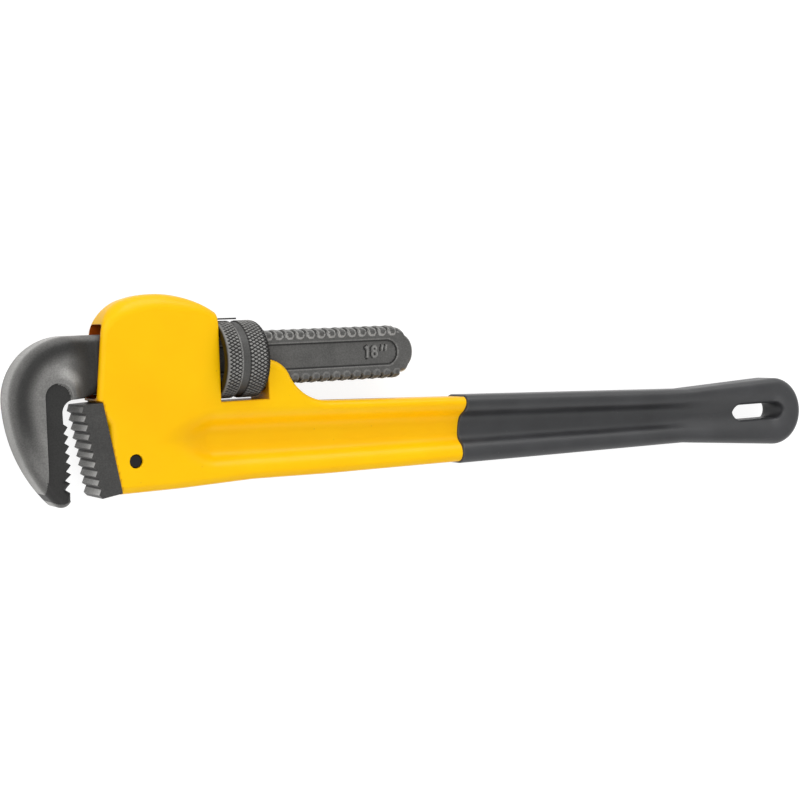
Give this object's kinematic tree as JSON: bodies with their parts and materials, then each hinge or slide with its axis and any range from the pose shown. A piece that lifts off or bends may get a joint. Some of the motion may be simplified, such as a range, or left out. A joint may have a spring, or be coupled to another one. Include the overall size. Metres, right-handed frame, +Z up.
{
  "type": "pipe wrench",
  "caption": "Adjustable pipe wrench: a ring nut slides the toothed hook jaw towards a pinned toothed heel jaw; I-section handle with a vinyl grip and a hanging slot.",
  "frame": {"origin": "centre of the bounding box in plan, at the level of the nut's lowest point, with the tool lying on its side", "axes": "+X along the tool from the jaws to the handle end, +Y from the handle to the housing dome, +Z up out of the flat side"},
  "size_m": [0.453, 0.0923, 0.0354],
  "materials": {
    "casting_paint": "glossy yellow paint on ductile iron",
    "vinyl": "satin dipped vinyl",
    "forged_steel": "dark oxide on forged steel, teeth ground bright",
    "heel_steel": "dark oxide with bright cut teeth",
    "pin_steel": "black oxide",
    "nut_steel": "knurled dark steel",
    "spring_steel": "blued strip",
    "spring_wire": "oiled spring wire"
  },
  "bodies": {
    "handle": {"handle_body": "casting_paint", "vinyl_grip": "vinyl", "heel_jaw": "heel_steel", "heel_jaw_pin": "pin_steel", "coil_spring": "spring_wire"},
    "nut": {"adjusting_nut": "nut_steel"},
    "leaf": {"flat_spring": "spring_steel"},
    "jaw": {"hook_jaw": "forged_steel"}
  },
  "joints": [
    {"name": "nut_spin", "type": "hinge", "parent": "handle", "child": "nut", "pos_m": [-0.11843, 0.0156, 0.0177], "axis": [1, 0, 0], "range_deg": [-433, 4309]},
    {"name": "jaw_rock", "type": "hinge", "parent": "handle", "child": "leaf", "pos_m": [-0.11843, 0.0156, 0.0177], "axis": [0, 0, 1], "range_deg": [-2.4, 0], "stiffness_Nm_per_rad": 5, "springref_deg": 5.73, "deforming": ["flat_spring", "coil_spring"]},
    {"name": "jaw_slide", "type": "slide", "parent": "leaf", "child": "jaw", "axis": [1, 0, 0], "range_m": [-0.0658, 0.0066]}
  ],
  "couplings": [
    {"joint": "nut_spin", "follows": "jaw_slide", "rad_per_m": -1142.4}
  ]
}
